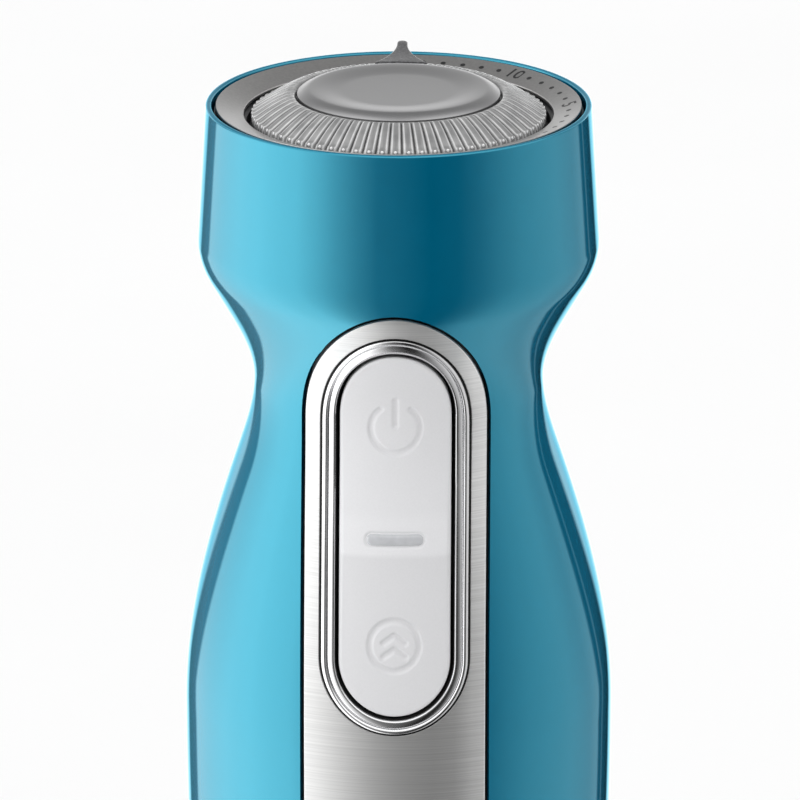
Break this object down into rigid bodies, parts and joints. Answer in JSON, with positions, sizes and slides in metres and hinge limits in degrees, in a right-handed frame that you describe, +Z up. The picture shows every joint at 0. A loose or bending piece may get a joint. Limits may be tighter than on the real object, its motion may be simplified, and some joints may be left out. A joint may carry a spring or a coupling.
{
  "type": "immersion blender",
  "caption": "Hand-held immersion blender: waisted motor handle with a speed dial on top and a rocker key, and a pull-off steel wand with a bell guard and blade.",
  "frame": {"origin": "centre of the blade guard's foot, on the surface that the blender stands on", "axes": "+Z up along the wand and the handle to the speed dial; the rocker key faces -Y and the cord gland faces +Y"},
  "size_m": [0.0696, 0.0696, 0.4004],
  "materials": {
    "gloss_blue": "high-gloss moulded plastic",
    "brushed_steel": "fine brushing across the strip",
    "chrome": "polished plating",
    "satin_white": "satin moulded plastic",
    "black_rubber": "matt rubber",
    "black_plastic": "fine moulded texture",
    "grey_plastic": "satin moulded plastic",
    "clear_plastic": "clear polished plastic",
    "satin_silver": "satin silver",
    "steel": "polished stainless steel",
    "lamination": "stacked sheet steel",
    "copper": "enamelled copper",
    "brass": "drawn brass",
    "bronze": "sintered bronze",
    "carbon": "pressed carbon",
    "cast_alloy": "die-cast",
    "board_green": "lacquered circuit board",
    "capacitor_yellow": "moulded case"
  },
  "bodies": {
    "handle": {"front_housing": "gloss_blue", "rear_housing": "gloss_blue", "cord_gland": "black_rubber", "front_panel": "brushed_steel", "panel_gasket": "black_rubber", "button_bezel": "chrome", "button_seal": "black_rubber", "rocker_pin": "steel", "button_carrier": "black_plastic", "power_switch": "black_plastic", "turbo_switch": "black_plastic", "control_board": "board_green", "status_led": "clear_plastic", "suppression_capacitor": "capacitor_yellow", "scale_ring": "brushed_steel", "dial_tray": "black_plastic", "speed_potentiometer": "grey_plastic", "field_core": "lamination", "field_coil_front": "copper", "field_coil_rear": "copper", "carbon_brush_left": "carbon", "carbon_brush_right": "carbon", "brush_holder_left": "brass", "brush_holder_right": "brass", "upper_bracket": "cast_alloy", "lower_bracket": "cast_alloy", "upper_bearing": "bronze", "lower_bearing": "bronze", "motor_screw_left": "steel", "motor_screw_right": "steel", "upper_damper": "black_rubber", "lower_damper": "black_rubber", "wand_socket": "grey_plastic", "snap_ring": "steel"},
    "rocker": {"rocker_button": "satin_white", "light_bar": "clear_plastic"},
    "power_key": {"power_plunger": "brass"},
    "turbo_key": {"turbo_plunger": "brass"},
    "dial": {"speed_dial": "clear_plastic", "dial_cap": "satin_silver", "potentiometer_shaft": "steel"},
    "rotor": {"armature_shaft": "steel", "armature_core": "lamination", "armature_winding": "copper", "commutator": "copper", "cooling_fan": "black_plastic", "drive_coupling": "black_plastic"},
    "wand": {"wand_collar": "grey_plastic", "wand_tube": "steel", "blade_guard": "steel", "bearing_carrier": "black_plastic", "upper_bush": "bronze", "lower_bush": "bronze", "shaft_seal": "black_rubber"},
    "blade_drive": {"drive_shaft": "steel", "wand_coupling": "black_plastic", "blade": "steel", "blade_spacer": "steel", "blade_nut": "steel"}
  },
  "joints": [
    {"name": "rocker_tilt", "type": "hinge", "parent": "handle", "child": "rocker", "pos_m": [0, -0.0199, 0.3359], "axis": [1, 0, 0], "range_deg": [-1.6, 1.6], "stiffness_Nm_per_rad": 2},
    {"name": "power_press", "type": "slide", "parent": "handle", "child": "power_key", "axis": [0, 1, 0], "range_m": [-0.0005, 0.0005]},
    {"name": "turbo_press", "type": "slide", "parent": "handle", "child": "turbo_key", "axis": [0, 1, 0], "range_m": [-0.0005, 0.0005]},
    {"name": "dial_turn", "type": "hinge", "parent": "handle", "child": "dial", "pos_m": [0, 0, 0.398], "axis": [0, 0, 1], "range_deg": [-122, 0]},
    {"name": "rotor_spin", "type": "hinge", "parent": "handle", "child": "rotor", "pos_m": [0, 0, 0.262], "axis": [0, 0, 1], "continuous": true},
    {"name": "wand_release", "type": "slide", "parent": "handle", "child": "wand", "axis": [0, 0, -1], "range_m": [0, 0.05], "deforming": ["snap_ring"]},
    {"name": "blade_spin", "type": "hinge", "parent": "wand", "child": "blade_drive", "pos_m": [0, 0, 0.012], "axis": [0, 0, 1], "continuous": true}
  ],
  "couplings": [
    {"joint": "power_press", "follows": "rocker_tilt", "m_per_rad": -0.0165},
    {"joint": "turbo_press", "follows": "rocker_tilt", "m_per_rad": 0.0165},
    {"joint": "blade_spin", "follows": "rotor_spin", "ratio": 1}
  ]
}
